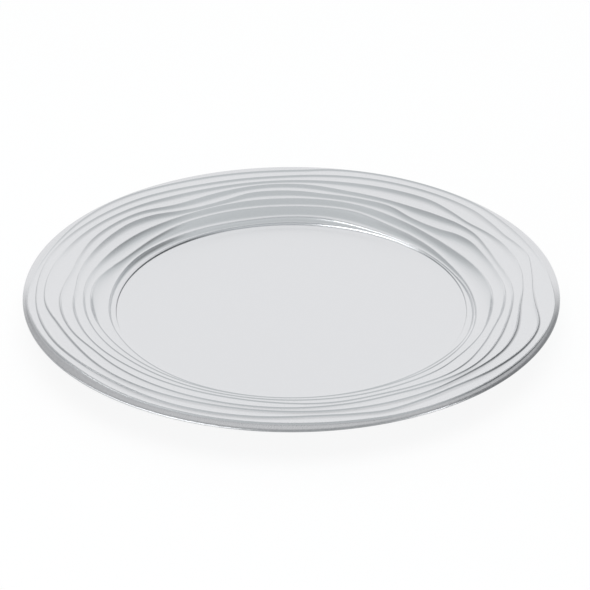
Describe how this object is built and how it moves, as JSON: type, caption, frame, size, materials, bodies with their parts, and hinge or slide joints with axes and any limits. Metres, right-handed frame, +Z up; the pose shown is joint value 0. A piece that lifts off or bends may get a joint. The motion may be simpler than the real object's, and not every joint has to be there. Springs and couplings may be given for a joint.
{
  "type": "charger plate",
  "caption": "Round charger plate with a flat well, a broad rim of wavy concentric ridges and a thin rounded lip, in satin silver lacquer.",
  "frame": {"origin": "on the table under the plate's centre, in the plane of the foot ring", "axes": "+Z up along the plate's axis, +Y to the back and +X to the right of the picture's view"},
  "size_m": [0.33, 0.33, 0.0216],
  "materials": {
    "silver_lacquer": "moulded plastic under a satin silver metallic lacquer with fine flake"
  },
  "bodies": {
    "root": {"well_floor": "silver_lacquer", "well_wall": "silver_lacquer", "wave_rim": "silver_lacquer", "lip": "silver_lacquer", "foot_ring": "silver_lacquer"}
  },
  "joints": []
}
